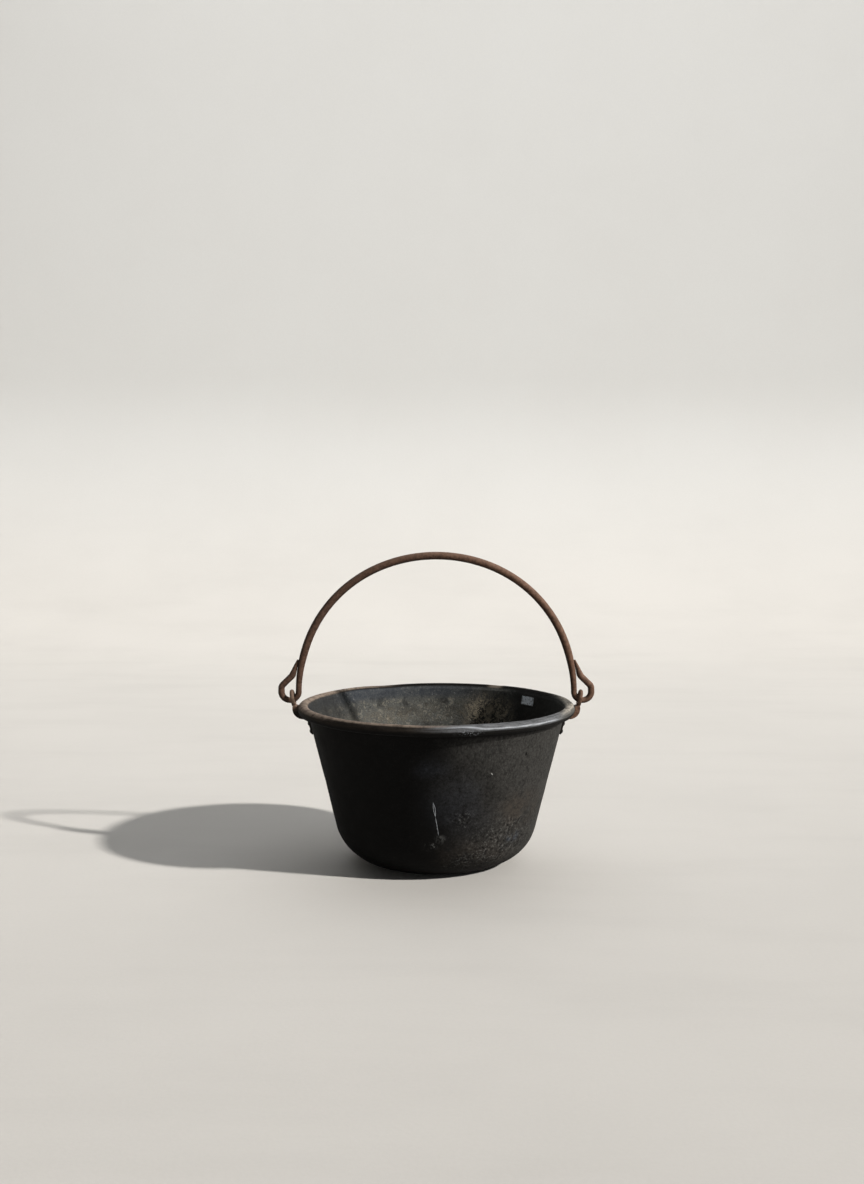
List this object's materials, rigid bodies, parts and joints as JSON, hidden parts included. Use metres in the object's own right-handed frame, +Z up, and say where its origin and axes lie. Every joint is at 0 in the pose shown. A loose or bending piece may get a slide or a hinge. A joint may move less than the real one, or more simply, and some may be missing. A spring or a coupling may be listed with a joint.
{
  "type": "open kettle with bail handle",
  "caption": "Round open kettle of heavy sheet metal with flared sides, a wired rim, riveted ears and a swinging round-bar bail for hanging over a fire.",
  "frame": {"origin": "on the floor under the middle of the kettle", "axes": "+Z up out of the mouth; +X towards the right ear, along the line that the bail swings about; +Y away from the viewer of the picture"},
  "size_m": [0.5488, 0.48, 0.5363],
  "materials": {
    "kettle_sheet": "heavy copper sheet gone black with soot and use, dull, with bare tan patches on the rolled rim and inside",
    "rim_wire_iron": "round iron wire inside the roll, out of sight",
    "left_ear_iron": "forged iron with a thin, dry, greyish brown rust",
    "right_ear_iron": "forged iron with a thin, dry, brown rust",
    "rivet_iron": "iron rivets, dark and dull",
    "bail_iron": "forged round iron with chocolate brown rust, darker below"
  },
  "bodies": {
    "kettle": {"kettle_body": "kettle_sheet", "rim_wire": "rim_wire_iron", "left_ear": "left_ear_iron", "right_ear": "right_ear_iron", "left_upper_rivet": "rivet_iron", "left_lower_rivet": "rivet_iron", "right_upper_rivet": "rivet_iron", "right_lower_rivet": "rivet_iron"},
    "bail": {"bail": "bail_iron"}
  },
  "joints": [
    {"name": "bail_swing", "type": "hinge", "parent": "kettle", "child": "bail", "pos_m": [0, 0, 0.28036], "axis": [1, 0, 0], "range_deg": [-92, 92]}
  ]
}
